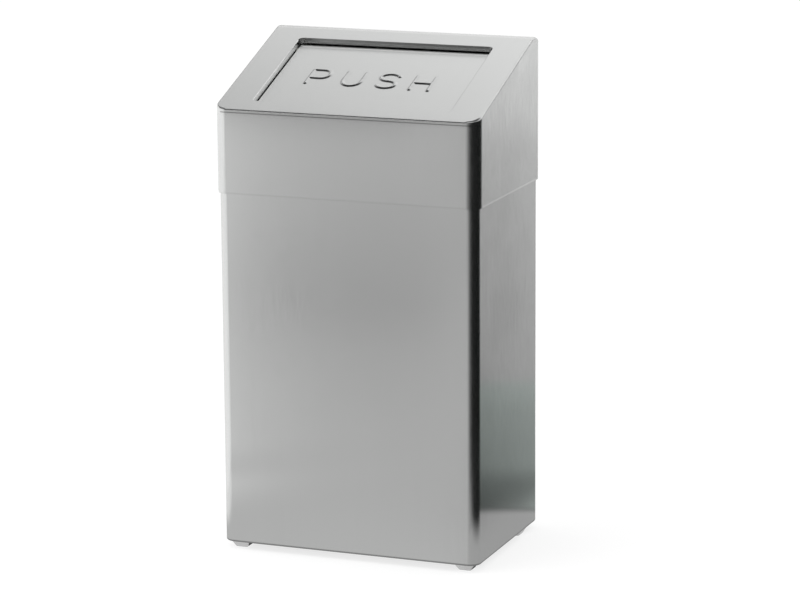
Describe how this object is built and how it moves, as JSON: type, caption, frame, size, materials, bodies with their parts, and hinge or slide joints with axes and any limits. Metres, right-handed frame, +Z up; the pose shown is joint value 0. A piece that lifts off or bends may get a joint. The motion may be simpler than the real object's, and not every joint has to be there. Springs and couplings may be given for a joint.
{
  "type": "waste bin",
  "caption": "Upright sheet-steel waste bin on low feet with a slip-over slanted lid whose sprung push flap swings inwards and returns by itself.",
  "frame": {"origin": "middle of the bin's footprint on the floor, under the feet", "axes": "+Z up, +X to the right of someone facing the front, +Y from the low front of the lid to its high back"},
  "size_m": [0.262, 0.178, 0.4823],
  "materials": {
    "sheet_steel": "fine brushed stainless sheet",
    "inner_steel": "plain mill-finish steel",
    "zinc_steel": "bright zinc plating",
    "spring_steel": "oiled spring steel",
    "foot_plastic": "satin light grey moulded plastic",
    "bush_nylon": "natural nylon",
    "buffer_rubber": "matt black rubber"
  },
  "bodies": {
    "bin_body": {"body_shell": "sheet_steel", "seam_strip": "inner_steel", "base_pan": "inner_steel", "foot_front_left": "foot_plastic", "foot_front_right": "foot_plastic", "foot_rear_left": "foot_plastic", "foot_rear_right": "foot_plastic", "frame_lug_front_left": "zinc_steel", "frame_lug_front_right": "zinc_steel", "frame_lug_rear_left": "zinc_steel", "frame_lug_rear_right": "zinc_steel"},
    "bag_frame": {"bag_frame_wire": "zinc_steel", "bag_frame_sleeve": "zinc_steel"},
    "lid": {"lid_shell": "sheet_steel", "lid_seat_left": "inner_steel", "lid_seat_right": "inner_steel", "hinge_bracket_left": "inner_steel", "hinge_bracket_right": "inner_steel", "hinge_rod": "zinc_steel", "rod_clip_left": "spring_steel", "rod_clip_right": "spring_steel", "torsion_spring_left": "spring_steel", "torsion_spring_right": "spring_steel"},
    "flap": {"flap_panel": "sheet_steel", "flap_ear_left": "inner_steel", "flap_ear_right": "inner_steel", "hinge_bush_left": "bush_nylon", "hinge_bush_right": "bush_nylon", "flap_stop_strip": "inner_steel", "flap_buffer_left": "buffer_rubber", "flap_buffer_right": "buffer_rubber"}
  },
  "joints": [
    {"name": "lid_lift", "type": "slide", "parent": "bin_body", "child": "lid", "axis": [0, 0, 1], "range_m": [0, 0.11]},
    {"name": "flap_push", "type": "hinge", "parent": "lid", "child": "flap", "pos_m": [0, 0.03886, 0.46029], "axis": [1, 0, 0], "range_deg": [0, 65], "stiffness_Nm_per_rad": 0.12, "springref_deg": -91.67, "deforming": ["torsion_spring_left", "torsion_spring_right"]},
    {"name": "bag_frame_lift", "type": "slide", "parent": "bin_body", "child": "bag_frame", "axis": [0, 0, 1], "range_m": [0, 0.012]}
  ]
}
